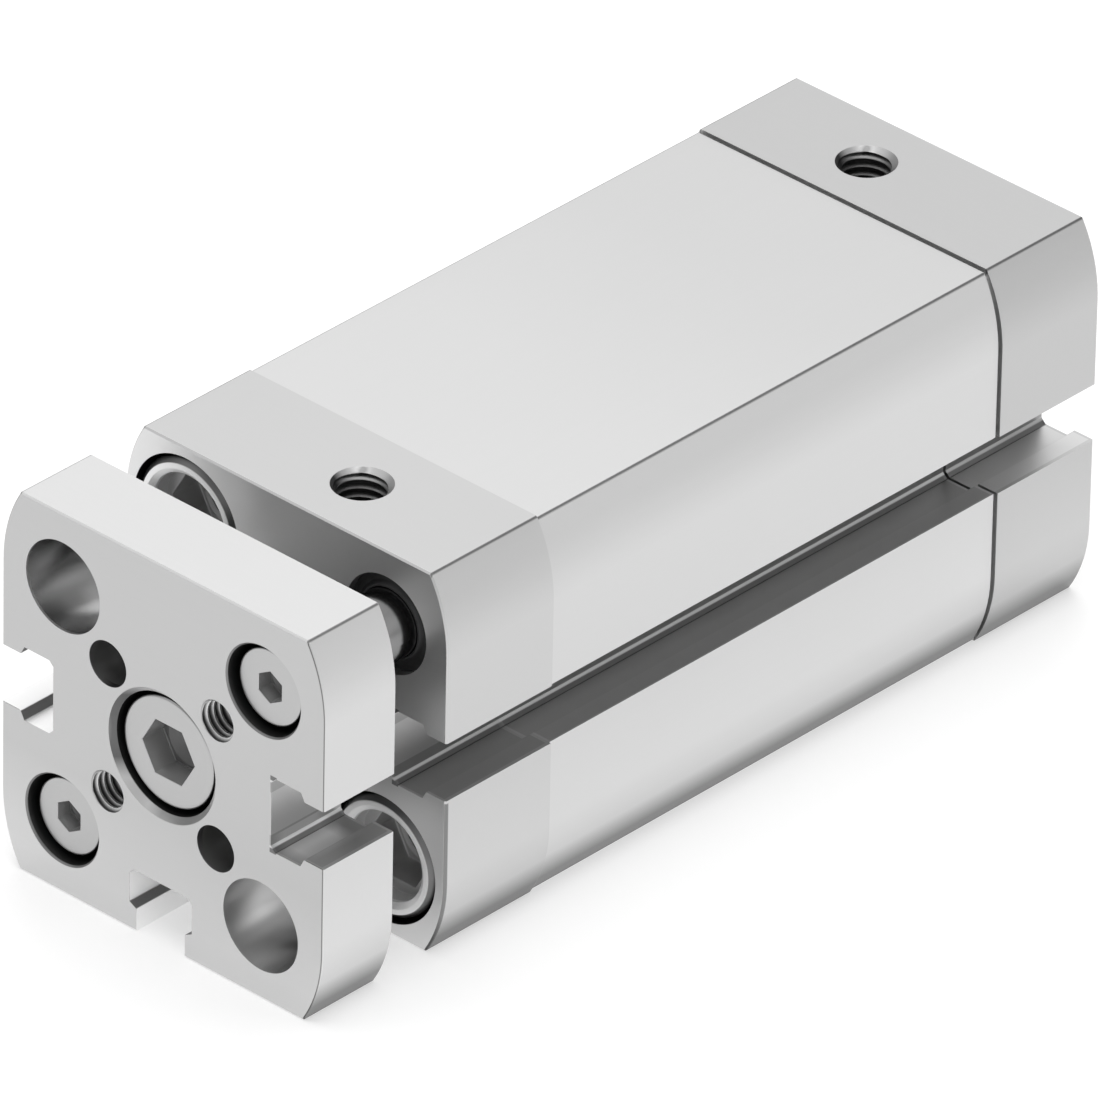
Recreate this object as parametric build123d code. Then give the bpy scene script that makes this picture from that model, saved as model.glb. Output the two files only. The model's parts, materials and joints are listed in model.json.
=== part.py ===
from build123d import *
import math
import os

# Guided pneumatic cylinder, in millimetres.
# X to the right, Y from the yoke plate to the rear, Z up to the supply ports.
# The origin is on the cylinder axis, in the front face of the bearing cap.

# Working sizes
bore = 20.0
stroke = 40.0
rod_diameter = 10.0
guide_rod_diameter = 6.0

# Clearances
running_clearance = 0.025
thread_clearance = 0.02
seal_clearance = 0.05
piston_clearance = 0.1
screw_hole_clearance = 0.2
stop_gap = 0.05

# Flange screws, which hold the caps to the barrel and carry the mounting threads
flange_thread_diameter = 8.0
flange_head_diameter = 10.8
flange_head_height = 5.0
flange_head_chamfer = 0.4
flange_head_clearance = 0.4
flange_mouth_diameter = 8.0
flange_mouth_depth = 2.0
flange_socket = 6.0
flange_socket_depth = 3.0
mounting_thread_diameter = 5.0
mounting_thread_depth = 12.0

# Section of the caps, the barrel and the yoke plate
bore_wall = 1.556
corner_rim = 0.95
crease_inset = 2.0
arc_rise = 7.05
crease_round = 0.2
barrel_inset = 0.2
edge_break = 0.15
edge_match = 0.01
corner_bore_diameter = 7.0

# Slots on three sides
slot_wall = 2.03
slot_width = 6.9
slot_mouth = 5.4
slot_lip = 2.1
slot_lip_slant = 0.4
slot_floor_chamfer = 0.45
slot_overshoot = 1.0

# Caps
bearing_cap_length = 12.2
end_cap_length = 12.0
spigot_length = 2.0
spigot_clearance = 0.03
relief_width = 0.3
relief_depth = 0.7
static_seal_section = 1.0
static_seal_play = 0.02
static_seal_land = 0.4

# Supply ports
port_diameter = 5.0
port_depth = 5.5
port_mouth_chamfer = 0.2
port_from_face = 6.0
port_offset = 2.6
passage_diameter = 1.6

# Rod seal, bushes and wipers in the bearing cap
rod_seal_recess = 0.6
rod_seal_length = 3.6
rod_seal_wall = 3.0
rod_seal_lip = 0.5
rod_bush_wall = 1.0
rod_bush_set_back = 0.4
guide_bush_wall = 1.0
guide_wiper_recess = 0.8
guide_wiper_length = 1.8
guide_wiper_wall = 1.4
guide_wiper_lip = 0.4

# Piston
piston_half_length = 2.9
magnet_length = 2.1
magnet_inset = 1.8
hub_diameter = 9.0
piston_seal_width = 1.4
piston_seal_depth = 1.85
piston_seal_land = 0.6
piston_seal_lip = 0.5
wear_ring_wall = 1.6
cushion_proud = 0.4
cushion_depth = 0.4
cushion_width = 1.6
cushion_from_wall = 2.2

# Piston screw
piston_screw_diameter = 6.0
piston_screw_head_diameter = 10.0
piston_screw_head_height = 2.6
piston_screw_socket = 4.0
piston_screw_socket_depth = 1.6
piston_screw_hold = 8.0
head_pocket_clearance = 0.75

# Yoke plate and its screws
yoke_gap = 6.0
yoke_thickness = 8.0
rod_seat_depth = 1.0
access_hole_diameter = 8.2
yoke_hole_pitch = 12.0
yoke_thread_diameter = 4.0
yoke_thread_chamfer = 0.15
dowel_diameter = 4.1
counterbore_clearance = 0.45
rod_counterbore_chamfer = 0.5
guide_counterbore_clearance = 0.575
guide_counterbore_chamfer = 0.15
rod_screw_diameter = 6.0
rod_screw_head_diameter = 10.0
rod_screw_head_height = 4.0
rod_screw_recess = 0.75
rod_screw_socket = 5.0
rod_screw_socket_depth = 2.4
rod_screw_hold = 12.0
guide_screw_diameter = 4.0
guide_screw_head_diameter = 6.85
guide_screw_head_height = 2.8
guide_screw_recess = 0.8
guide_screw_socket = 2.5
guide_screw_socket_depth = 1.5
guide_screw_socket_turn = 30.0
guide_screw_hold = 7.0
screw_head_chamfer = 0.3
thread_runout = 1.5

# Guide rods past the bearing cap when the yoke is fully out, and their room at rest
guide_overrun = 2.5
guide_end_gap = 1.3
rod_end_chamfer = 0.4

# Places across the section, from the axis
bore_radius = bore / 2
rod_radius = rod_diameter / 2
guide_radius = guide_rod_diameter / 2
flange_thread_radius = flange_thread_diameter / 2
flange_head_radius = flange_head_diameter / 2
counterbore_radius = flange_head_radius + flange_head_clearance
corner = (bore_radius + bore_wall + flange_thread_radius) / math.sqrt(2)
half = corner + counterbore_radius + corner_rim
crease = half - crease_inset
arc_start = half - arc_rise
slot_floor = bore_radius + slot_wall
barrel_half = half - barrel_inset

# The ports' feeds run along the axis between the rod bush and the static seal's groove
seal_groove_floor = bore_radius - static_seal_section - 2 * static_seal_play
passage_distance = (rod_radius + rod_bush_wall + seal_groove_floor) / 2
passage_height = math.sqrt(passage_distance**2 - port_offset**2)

# Places along the axis
front_face = 0.0
front_seam = front_face + bearing_cap_length
piston_length = 2 * piston_half_length + magnet_length
barrel_length = stroke + piston_length + 2 * (spigot_length + cushion_proud + stop_gap)
rear_seam = front_seam + barrel_length
rear_face = rear_seam + end_cap_length
front_stop = front_seam + spigot_length
rear_stop = rear_seam - spigot_length
yoke_back = front_face - yoke_gap
yoke_front = yoke_back - yoke_thickness
rod_seat = yoke_back - rod_seat_depth
piston_rear_face = rear_stop - stop_gap - cushion_proud
piston_front_face = piston_rear_face - piston_length
guide_end = front_seam + guide_overrun + stroke
flange_thread_length = rear_seam - guide_end - guide_end_gap
rod_bush_start = front_face + rod_seal_recess + rod_seal_length
guide_bush_start = front_face + guide_wiper_recess + guide_wiper_length

# Corners: the guide rods run in one diagonal pair, the front flange screws sit in the other
guide_corners = {"upper": (corner, corner), "lower": (-corner, -corner)}
flange_corners = {"upper": (-corner, corner), "lower": (corner, -corner)}
rear_corners = {
    "upper_left": (-corner, corner),
    "upper_right": (corner, corner),
    "lower_left": (-corner, -corner),
    "lower_right": (corner, -corner),
}


def rod_between(start, end, radius, x=0.0, z=0.0):
    """A round bar along the axis direction, from start to end."""
    frame = Plane(origin=(x, start, z), x_dir=(1, 0, 0), z_dir=(0, 1, 0))
    return extrude(frame * Circle(radius), end - start)


def hexagon_between(start, end, across_flats, x=0.0, z=0.0, turn=0.0):
    """A hexagonal bar along the axis direction, from start to end."""
    frame = Plane(origin=(x, start, z), x_dir=(1, 0, 0), z_dir=(0, 1, 0))
    outline = RegularPolygon(across_flats / 2, 6, major_radius=False, rotation=turn)
    return extrude(frame * outline, end - start)


def turned(points, x=0.0, z=0.0):
    """A turned solid about a line along Y, from (radius, y) points of its half section."""
    outline = Polyline(*[(radius, y, 0) for radius, y in points], close=True)
    return Pos(x, 0, z) * revolve(make_face(outline), Axis.Y)


def slot_outline(reach):
    """Slot open towards +X and cut out to reach, with a slanted lip each side and a chamfered floor."""
    lip = half - slot_lip
    side = slot_width / 2
    mouth = slot_mouth / 2
    upper = [
        (slot_floor, side - slot_floor_chamfer),
        (slot_floor + slot_floor_chamfer, side),
        (lip - slot_lip_slant, side),
        (lip, mouth),
        (reach, mouth),
    ]
    lower = [(x, -z) for x, z in reversed(upper)]
    return make_face(Polyline(*upper, *lower, close=True))


def section_outline(size, slot_growth=0.0):
    """Section with flat top and bottom, and sides that round inwards to a crease at each corner."""
    top = Line((-crease, size), (crease, size))
    right_top = TangentArc((size, arc_start), (crease, size), tangent=(0, 1))
    right = Line((size, arc_start), (size, -arc_start))
    right_bottom = TangentArc((size, -arc_start), (crease, -size), tangent=(0, -1))
    bottom = Line((crease, -size), (-crease, -size))
    left_bottom = TangentArc((-size, -arc_start), (-crease, -size), tangent=(0, -1))
    left = Line((-size, -arc_start), (-size, arc_start))
    left_top = TangentArc((-size, arc_start), (-crease, size), tangent=(0, 1))
    edges = [top, right_top, right, right_bottom, bottom, left_bottom, left, left_top]
    plain = make_face(edges)
    slot = slot_outline(half + slot_overshoot)
    if slot_growth:
        slot = offset(slot, slot_growth, kind=Kind.INTERSECTION)
    slots = slot + slot.rotate(Axis.Z, 180) + slot.rotate(Axis.Z, -90)
    return plain - slots


def section_bar(start, end, size, slot_growth=0.0):
    """A length of the slotted section, with its creases slightly rounded."""
    frame = Plane(origin=(0, start, 0), x_dir=(1, 0, 0), z_dir=(0, -1, 0))
    bar = extrude(frame * section_outline(size, slot_growth), start - end)
    creases = [
        edge
        for edge in bar.edges().filter_by(Axis.Y)
        if abs(abs(edge.center().X) - crease) < edge_match
        and abs(abs(edge.center().Z) - size) < edge_match
    ]
    return fillet(creases, crease_round)


def outer_edges(bar, y):
    """The edges round the outside of the section in one end face."""
    return [
        edge
        for edge in bar.edges()
        if abs(edge.bounding_box().min.Y - y) < edge_match
        and abs(edge.bounding_box().max.Y - y) < edge_match
        and max(abs(edge.center().X), abs(edge.center().Z)) > half - slot_lip
        and edge.length > slot_lip + edge_match
    ]


def port_hole(y, x):
    """A supply port from the top face: threaded hole, mouth chamfer and feed towards the bore."""
    top = half
    down = Plane(origin=(x, y, top), z_dir=(0, 0, -1))
    hole = extrude(down * Circle(port_diameter / 2), port_depth)
    wide = port_diameter / 2 + 2 * port_mouth_chamfer
    mouth = Pos(x, y, top) * Cone(port_diameter / 2, wide, 2 * port_mouth_chamfer)
    floor = Plane(origin=(x, y, top - port_depth), z_dir=(0, 0, -1))
    feed = extrude(floor * Circle(passage_diameter / 2), top - port_depth - passage_height)
    return hole + mouth + feed


def feed_bore(start, end, x):
    """The part of a port's feed that runs along the axis and opens into the bore."""
    return rod_between(start, end, passage_diameter / 2, x, passage_height)


def spigot(start, end, seal_start):
    """The round end of a cap that enters the bore, with the groove of its static seal."""
    body = rod_between(start, end, bore_radius - spigot_clearance)
    seal_end = seal_start + static_seal_section + 2 * static_seal_play
    groove = rod_between(seal_start, seal_end, bore_radius)
    return body - (groove - rod_between(seal_start, seal_end, seal_groove_floor))


def static_seal(seal_start):
    ring_radius = seal_groove_floor + static_seal_play + static_seal_section / 2
    frame = Plane(origin=(0, seal_start + static_seal_play + static_seal_section / 2, 0), z_dir=(0, 1, 0))
    return frame * Torus(ring_radius, static_seal_section / 2)


def make_bearing_cap():
    cap = section_bar(front_face, front_seam, half)
    cap = chamfer(outer_edges(cap, front_face), edge_break)
    cap += spigot(front_seam, front_stop, front_seam + static_seal_land)
    cap -= rod_between(front_face, rod_bush_start, rod_radius + rod_seal_wall)
    cap -= rod_between(front_face, front_stop, rod_radius + rod_bush_wall)
    for x, z in flange_corners.values():
        cap -= rod_between(front_face, front_face + flange_head_height, counterbore_radius, x, z)
        cap -= rod_between(front_face, front_seam, flange_thread_radius + screw_hole_clearance, x, z)
    for x, z in guide_corners.values():
        cap -= rod_between(front_face, guide_bush_start, guide_radius + guide_wiper_wall, x, z)
        cap -= rod_between(front_face, front_seam, guide_radius + guide_bush_wall, x, z)
    port_y = front_face + port_from_face
    cap -= port_hole(port_y, port_offset)
    cap -= feed_bore(port_y, front_stop, port_offset)
    return cap


def make_barrel():
    barrel = section_bar(front_seam, rear_seam, barrel_half)
    barrel -= rod_between(front_seam, rear_seam, bore_radius)
    tap_radius = flange_thread_radius + thread_clearance
    for x, z in rear_corners.values():
        barrel -= rod_between(front_seam, rear_seam, corner_bore_diameter / 2, x, z)
        barrel -= rod_between(rear_seam - flange_thread_length, rear_seam, tap_radius, x, z)
    for x, z in flange_corners.values():
        barrel -= rod_between(front_seam, front_seam + flange_thread_length, tap_radius, x, z)
    return barrel


def make_end_cap():
    relief_end = rear_seam + relief_width
    cap = section_bar(relief_end, rear_face, half)
    cap = chamfer(outer_edges(cap, rear_face), edge_break)
    cap += section_bar(rear_seam, relief_end, half - relief_depth, relief_depth)
    seal_start = rear_seam - static_seal_land - static_seal_section - 2 * static_seal_play
    cap += spigot(rear_stop, rear_seam, seal_start)
    pocket_depth = piston_screw_head_height + head_pocket_clearance
    pocket_end = piston_rear_face + pocket_depth
    cap -= rod_between(rear_stop, pocket_end, piston_screw_head_diameter / 2 + head_pocket_clearance)
    for x, z in rear_corners.values():
        cap -= rod_between(rear_face - flange_head_height, rear_face, counterbore_radius, x, z)
        cap -= rod_between(rear_seam, rear_face, flange_thread_radius + screw_hole_clearance, x, z)
    port_y = rear_face - port_from_face
    cap -= port_hole(port_y, -port_offset)
    cap -= feed_bore(rear_stop, port_y, -port_offset)
    return cap


def flange_screw(face, inward, length, x, z):
    """Round head flush with the cap, hexagon inside its mouth, and a mounting thread through its core."""
    seat = face + inward * flange_head_height
    tip = face + inward * length
    body = turned(
        [
            (0, face),
            (flange_head_radius - flange_head_chamfer, face),
            (flange_head_radius, face + inward * flange_head_chamfer),
            (flange_head_radius, seat),
            (flange_thread_radius, seat),
            (flange_thread_radius, tip - inward * rod_end_chamfer),
            (flange_thread_radius - rod_end_chamfer, tip),
            (0, tip),
        ],
        x,
        z,
    )
    mouth_end = face + inward * flange_mouth_depth
    socket_end = mouth_end + inward * flange_socket_depth
    thread_end = socket_end + inward * mounting_thread_depth
    body -= rod_between(face, mouth_end, flange_mouth_diameter / 2, x, z)
    body -= hexagon_between(mouth_end, socket_end, flange_socket, x, z)
    body -= rod_between(socket_end, thread_end, mounting_thread_diameter / 2, x, z)
    return body


def socket_screw(
    face, inward, head_radius, head_height, radius, shank, socket, socket_depth, x=0.0, z=0.0, turn=0.0
):
    """A socket head screw whose head face is at face, and which points inward along Y."""
    seat = face + inward * head_height
    tip = seat + inward * shank
    body = turned(
        [
            (0, face),
            (head_radius - screw_head_chamfer, face),
            (head_radius, face + inward * screw_head_chamfer),
            (head_radius, seat),
            (radius, seat),
            (radius, tip - inward * rod_end_chamfer),
            (radius - rod_end_chamfer, tip),
            (0, tip),
        ],
        x,
        z,
    )
    return body - hexagon_between(face, face + inward * socket_depth, socket, x, z, turn)


def make_rod_seal():
    """A ring with a thin lip at its front that wipes the rod."""
    front = front_face + rod_seal_recess
    inner = rod_radius + seal_clearance
    outer = rod_radius + rod_seal_wall
    return turned(
        [
            (inner, front),
            (inner + rod_seal_lip, front),
            (inner + 2 * rod_seal_lip, front + rod_seal_lip),
            (outer, front + rod_seal_lip),
            (outer, rod_bush_start),
            (inner, rod_bush_start),
        ]
    )


def make_guide_wiper(x, z):
    """A ring with a raised lip that wipes one guide rod."""
    front = front_face + guide_wiper_recess
    inner = guide_radius + seal_clearance
    outer = guide_radius + guide_wiper_wall
    return turned(
        [
            (inner, front - guide_wiper_lip),
            (inner + guide_wiper_lip, front),
            (outer, front),
            (outer, guide_bush_start),
            (inner, guide_bush_start),
        ],
        x,
        z,
    )


def sleeve(start, end, inner, outer, x=0.0, z=0.0):
    return rod_between(start, end, outer, x, z) - rod_between(start, end, inner, x, z)


def make_piston_rod():
    rod = turned(
        [
            (0, rod_seat),
            (rod_radius - rod_end_chamfer, rod_seat),
            (rod_radius, rod_seat + rod_end_chamfer),
            (rod_radius, piston_front_face),
            (0, piston_front_face),
        ]
    )
    front_thread = rod_screw_diameter / 2 + thread_clearance
    rear_thread = piston_screw_diameter / 2 + thread_clearance
    rod -= rod_between(rod_seat, rod_seat + rod_screw_hold + thread_runout, front_thread)
    rod -= rod_between(piston_front_face - piston_screw_hold - thread_runout, piston_front_face, rear_thread)
    return rod


def make_guide_rod(x, z):
    rod = turned(
        [
            (0, rod_seat),
            (guide_radius, rod_seat),
            (guide_radius, guide_end - rod_end_chamfer),
            (guide_radius - rod_end_chamfer, guide_end),
            (0, guide_end),
        ],
        x,
        z,
    )
    thread = guide_screw_diameter / 2 + thread_clearance
    return rod - rod_between(rod_seat, rod_seat + guide_screw_hold + thread_runout, thread, x, z)


def piston_half(face, inward):
    """One half of the piston: seal groove near its face, and a recess for the cushion ring."""
    outer = bore_radius - piston_clearance
    inner_face = face + inward * piston_half_length
    groove_start = face + inward * piston_seal_land
    groove_end = groove_start + inward * piston_seal_width
    body = turned(
        [
            (piston_screw_diameter / 2 + thread_clearance, face),
            (outer, face),
            (outer, groove_start),
            (bore_radius - piston_seal_depth, groove_start),
            (bore_radius - piston_seal_depth, groove_end),
            (outer, groove_end),
            (outer, inner_face),
            (piston_screw_diameter / 2 + thread_clearance, inner_face),
        ]
    )
    cushion_outer = bore_radius - cushion_from_wall
    cushion_floor = face + inward * cushion_depth
    return body - sleeve(face, cushion_floor, cushion_outer - cushion_width, cushion_outer)


def cushion_ring(face, inward):
    outer = bore_radius - cushion_from_wall
    proud_face = face - inward * cushion_proud
    return sleeve(proud_face, face + inward * cushion_depth, outer - cushion_width, outer)


def piston_seal(face, inward):
    """A lip seal: a flat back, and a notch between its two lips that faces the pressure."""
    start = face + inward * piston_seal_land
    end = start + inward * piston_seal_width
    inner = bore_radius - piston_seal_depth
    outer = bore_radius - seal_clearance
    middle = (inner + outer) / 2
    return turned(
        [
            (inner, end),
            (inner, start),
            (middle - piston_seal_lip / 2, start),
            (middle, start + inward * piston_seal_lip),
            (middle + piston_seal_lip / 2, start),
            (outer, start),
            (outer, end),
        ]
    )


def make_yoke_plate():
    plate = section_bar(yoke_front, yoke_back, half)
    plate = chamfer(outer_edges(plate, yoke_front), edge_break)
    for x, z in flange_corners.values():
        plate -= rod_between(yoke_front, yoke_back, access_hole_diameter / 2, x, z)
    spot = yoke_hole_pitch / 2
    thread_radius = yoke_thread_diameter / 2
    mouth = thread_radius + yoke_thread_chamfer
    for side in (1, -1):
        x, z = side * spot, side * spot
        plate -= rod_between(yoke_front, yoke_back, thread_radius, x, z)
        plate -= turned([(0, yoke_front), (mouth, yoke_front), (0, yoke_front + mouth)], x, z)
        plate -= rod_between(yoke_front, yoke_back, dowel_diameter / 2, -side * spot, side * spot)
    rod_counterbore = rod_screw_head_diameter / 2 + counterbore_clearance
    rod_mouth = rod_counterbore + rod_counterbore_chamfer
    rod_screw_seat = yoke_front + rod_screw_recess + rod_screw_head_height
    plate -= rod_between(yoke_front, rod_screw_seat, rod_counterbore)
    plate -= turned([(0, yoke_front), (rod_mouth, yoke_front), (0, yoke_front + rod_mouth)])
    plate -= rod_between(yoke_front, yoke_back, rod_screw_diameter / 2 + screw_hole_clearance)
    plate -= rod_between(rod_seat, yoke_back, rod_radius + thread_clearance)
    guide_counterbore = guide_screw_head_diameter / 2 + guide_counterbore_clearance
    guide_mouth = guide_counterbore + guide_counterbore_chamfer
    guide_screw_seat = yoke_front + guide_screw_recess + guide_screw_head_height
    for x, z in guide_corners.values():
        plate -= rod_between(yoke_front, guide_screw_seat, guide_counterbore, x, z)
        plate -= turned([(0, yoke_front), (guide_mouth, yoke_front), (0, yoke_front + guide_mouth)], x, z)
        plate -= rod_between(yoke_front, yoke_back, guide_screw_diameter / 2 + screw_hole_clearance, x, z)
        plate -= rod_between(rod_seat, yoke_back, guide_radius + thread_clearance, x, z)
    return plate


def make_piston_front():
    """The front half of the piston carries the hub that the magnet sits on."""
    inner_face = piston_front_face + piston_half_length
    hub = sleeve(
        inner_face,
        inner_face + magnet_length,
        piston_screw_diameter / 2 + thread_clearance,
        hub_diameter / 2,
    )
    return piston_half(piston_front_face, 1) + hub


def make_magnet_ring():
    start = piston_front_face + piston_half_length
    return sleeve(
        start,
        start + magnet_length,
        hub_diameter / 2 + thread_clearance,
        bore_radius - magnet_inset,
    )


def make_wear_ring():
    start = piston_front_face + piston_half_length
    outer = bore_radius - seal_clearance
    return sleeve(start, start + magnet_length, outer - wear_ring_wall, outer)


parts = {
    "barrel": make_barrel(),
    "bearing_cap": make_bearing_cap(),
    "end_cap": make_end_cap(),
    "rod_seal": make_rod_seal(),
    "rod_bush": sleeve(
        rod_bush_start,
        front_stop - rod_bush_set_back,
        rod_radius + running_clearance,
        rod_radius + rod_bush_wall,
    ),
    "front_cap_seal": static_seal(front_seam + static_seal_land),
    "rear_cap_seal": static_seal(rear_seam - static_seal_land - static_seal_section - 2 * static_seal_play),
    "yoke_plate": make_yoke_plate(),
    "piston_rod": make_piston_rod(),
    "piston_front": make_piston_front(),
    "piston_rear": piston_half(piston_rear_face, -1),
    "piston_seal_front": piston_seal(piston_front_face, 1),
    "piston_seal_rear": piston_seal(piston_rear_face, -1),
    "cushion_front": cushion_ring(piston_front_face, 1),
    "cushion_rear": cushion_ring(piston_rear_face, -1),
    "magnet_ring": make_magnet_ring(),
    "wear_ring": make_wear_ring(),
    "piston_screw": socket_screw(
        piston_rear_face + piston_screw_head_height,
        -1,
        piston_screw_head_diameter / 2,
        piston_screw_head_height,
        piston_screw_diameter / 2,
        piston_length + piston_screw_hold,
        piston_screw_socket,
        piston_screw_socket_depth,
    ),
    "rod_screw": socket_screw(
        yoke_front + rod_screw_recess,
        1,
        rod_screw_head_diameter / 2,
        rod_screw_head_height,
        rod_screw_diameter / 2,
        rod_seat - (yoke_front + rod_screw_recess + rod_screw_head_height) + rod_screw_hold,
        rod_screw_socket,
        rod_screw_socket_depth,
    ),
}

for name, (x, z) in guide_corners.items():
    parts["guide_rod_" + name] = make_guide_rod(x, z)
    parts["guide_wiper_" + name] = make_guide_wiper(x, z)
    parts["guide_bush_" + name] = sleeve(
        guide_bush_start,
        front_seam,
        guide_radius + running_clearance,
        guide_radius + guide_bush_wall,
        x,
        z,
    )
    parts["guide_screw_" + name] = socket_screw(
        yoke_front + guide_screw_recess,
        1,
        guide_screw_head_diameter / 2,
        guide_screw_head_height,
        guide_screw_diameter / 2,
        rod_seat - (yoke_front + guide_screw_recess + guide_screw_head_height) + guide_screw_hold,
        guide_screw_socket,
        guide_screw_socket_depth,
        x,
        z,
        guide_screw_socket_turn,
    )

for name, (x, z) in flange_corners.items():
    length = bearing_cap_length + flange_thread_length
    parts["flange_screw_front_" + name] = flange_screw(front_face, 1, length, x, z)

for name, (x, z) in rear_corners.items():
    length = end_cap_length + flange_thread_length
    parts["flange_screw_rear_" + name] = flange_screw(rear_face, -1, length, x, z)

os.makedirs("parts", exist_ok=True)
for name, solid in parts.items():
    solid.label = name
    export_step(solid, f"parts/{name}.step")
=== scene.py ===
import json
import math

import bmesh
import bpy
import numpy as np
from mathutils import Matrix, Vector


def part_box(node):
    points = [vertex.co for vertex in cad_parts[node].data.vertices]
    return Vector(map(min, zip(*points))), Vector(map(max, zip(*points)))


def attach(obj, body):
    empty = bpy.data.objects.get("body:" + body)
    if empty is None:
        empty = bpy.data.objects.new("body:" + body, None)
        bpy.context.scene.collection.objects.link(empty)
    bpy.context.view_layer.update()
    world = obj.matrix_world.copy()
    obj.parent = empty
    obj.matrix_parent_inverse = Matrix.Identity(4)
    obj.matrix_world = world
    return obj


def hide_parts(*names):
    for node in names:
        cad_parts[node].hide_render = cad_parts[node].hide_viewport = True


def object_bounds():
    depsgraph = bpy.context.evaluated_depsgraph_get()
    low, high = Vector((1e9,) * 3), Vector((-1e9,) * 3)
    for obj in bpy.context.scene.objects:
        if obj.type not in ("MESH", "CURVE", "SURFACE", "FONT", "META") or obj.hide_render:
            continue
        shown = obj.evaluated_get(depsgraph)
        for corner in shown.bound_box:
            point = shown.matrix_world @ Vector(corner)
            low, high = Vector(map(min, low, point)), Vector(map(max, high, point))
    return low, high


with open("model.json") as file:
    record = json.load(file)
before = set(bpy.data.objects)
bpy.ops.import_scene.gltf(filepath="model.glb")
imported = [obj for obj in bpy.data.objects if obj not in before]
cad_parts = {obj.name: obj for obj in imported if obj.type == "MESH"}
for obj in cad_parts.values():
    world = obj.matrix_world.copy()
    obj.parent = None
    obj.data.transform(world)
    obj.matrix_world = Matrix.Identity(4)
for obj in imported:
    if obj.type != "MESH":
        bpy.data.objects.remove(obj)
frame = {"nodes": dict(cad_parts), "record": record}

mm = 0.001
nodes = frame["nodes"]
cadLow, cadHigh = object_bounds()
print("frame loaded:", len(nodes), "nodes")


# Shader maths: an output socket that can be added to, multiplied, and subtracted from a number
class Wire:
    def __init__(self, maker, socket):
        self.maker = maker
        self.socket = socket

    def __add__(self, other):
        return self.maker.maths("ADD", self, other)

    def __rsub__(self, other):
        return self.maker.maths("SUBTRACT", other, self)

    def __mul__(self, other):
        return self.maker.maths("MULTIPLY", self, other)


usualSoft = 0.06  # millimetres over which a zone's limit fades, where it doesn't say


# A material under construction. node() makes every node: its settings first, then its sockets.
class Finish:
    def __init__(self, name):
        self.material = bpy.data.materials.new(name)
        self.material.use_nodes = True
        self.tree = self.material.node_tree
        self.shader = self.tree.nodes["Principled BSDF"]
        self.places = {}

    def fill(self, target, value):
        if isinstance(value, Wire):
            self.tree.links.new(value.socket, target)
        else:
            target.default_value = value

    def node(self, kind, settings, inputs, output=0):
        made = self.tree.nodes.new(kind)
        for name, value in settings.items():
            setattr(made, name, value)
        for name, value in inputs.items():
            self.fill(made.inputs[name], value)
        return Wire(self, made.outputs[output])

    def maths(self, operation, first, second=0.0):
        return self.node("ShaderNodeMath", {"operation": operation}, {0: first, 1: second})

    # Object coordinates in metres, with centre as their origin, stretched by scale
    def place(self, scale=(1, 1, 1), centre=(0, 0, 0)):
        spot = self.node("ShaderNodeTexCoord", {}, {}, "Object")
        shift = tuple(-c * s for c, s in zip(centre, scale))
        return self.node("ShaderNodeMapping", {}, {"Vector": spot, "Location": shift, "Scale": scale})

    def axes(self):
        spot = self.place()
        return [self.node("ShaderNodeSeparateXYZ", {}, {"Vector": spot}, name) for name in "XYZ"]

    def noise(self, where, scale, detail=2.0):
        return self.node("ShaderNodeTexNoise", {}, {"Vector": where, "Scale": scale, "Detail": detail})

    # 1 where value is under limit, 0 above it, with a soft step of the width given
    def under(self, value, limit, soft):
        ranges = {"From Min": limit + soft / 2, "From Max": limit - soft / 2}
        return self.node("ShaderNodeMapRange", {"clamp": True}, {"Value": value, **ranges})

    # How far a point is from a line along X, Y or Z. The centre is in millimetres, None along the line.
    def farFrom(self, centre):
        scale = [0 if c is None else 1 for c in centre]
        spot = self.place(scale, [(c or 0) * mm for c in centre])
        return self.node("ShaderNodeVectorMath", {"operation": "LENGTH"}, {0: spot}, "Value")

    def blendColours(self, factor, first, second):
        colours = {"Factor": factor, 6: (*first, 1), 7: (*second, 1)}
        return self.node("ShaderNodeMix", {"data_type": "RGBA"}, colours, 2)

    # How far a point is inside a zone, from 0 to 1. A zone gives low and high limits in millimetres,
    # and may add how soft they are. across, along and upward are X, Y and Z, width and height are |X|
    # and |Z|, and radius is the distance from its centre line. None leaves a side open.
    def inZone(self, zone):
        if not self.places:
            across, along, upward = self.axes()
            self.places = {"across": across, "along": along, "upward": upward}
            self.places["width"] = self.maths("ABSOLUTE", across)
            self.places["height"] = self.maths("ABSOLUTE", upward)
        values = dict(self.places)
        if "centre" in zone:
            values["radius"] = self.farFrom(zone["centre"])
        inside = 1.0
        for name in [name for name in zone if name in values]:
            low, high, soft = [*zone[name], usualSoft][:3]
            if low is not None:
                inside = (1 - self.under(values[name], low * mm, soft * mm)) * inside
            if high is not None:
                inside = self.under(values[name], high * mm, soft * mm) * inside
        return inside

    # What the zones leave of a value. Each takes off the share it names: "dark" for colour, which paints
    # shade (or light, below 0),
    # "polish" for roughness and "matt" for metal. A share below 0 adds.
    def kept(self, zones, share):
        keep = 1.0
        for zone in zones:
            if share in zone:
                keep = (1 - self.inZone(zone) * zone[share]) * keep
        return keep

    def surface(self, colour, roughness, zones=()):
        shade = {0: colour, "Scale": self.kept(zones, "dark")}
        self.set("Base Color", self.node("ShaderNodeVectorMath", {"operation": "SCALE"}, shade))
        self.set("Roughness", roughness * self.kept(zones, "polish"))
        self.set("Metallic", self.kept(zones, "matt"))

    def relief(self, height, distance):
        self.set("Normal", self.node("ShaderNodeBump", {}, {"Height": height, "Distance": distance * mm}))

    def set(self, name, value):
        self.fill(self.shader.inputs[name], value)


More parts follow.
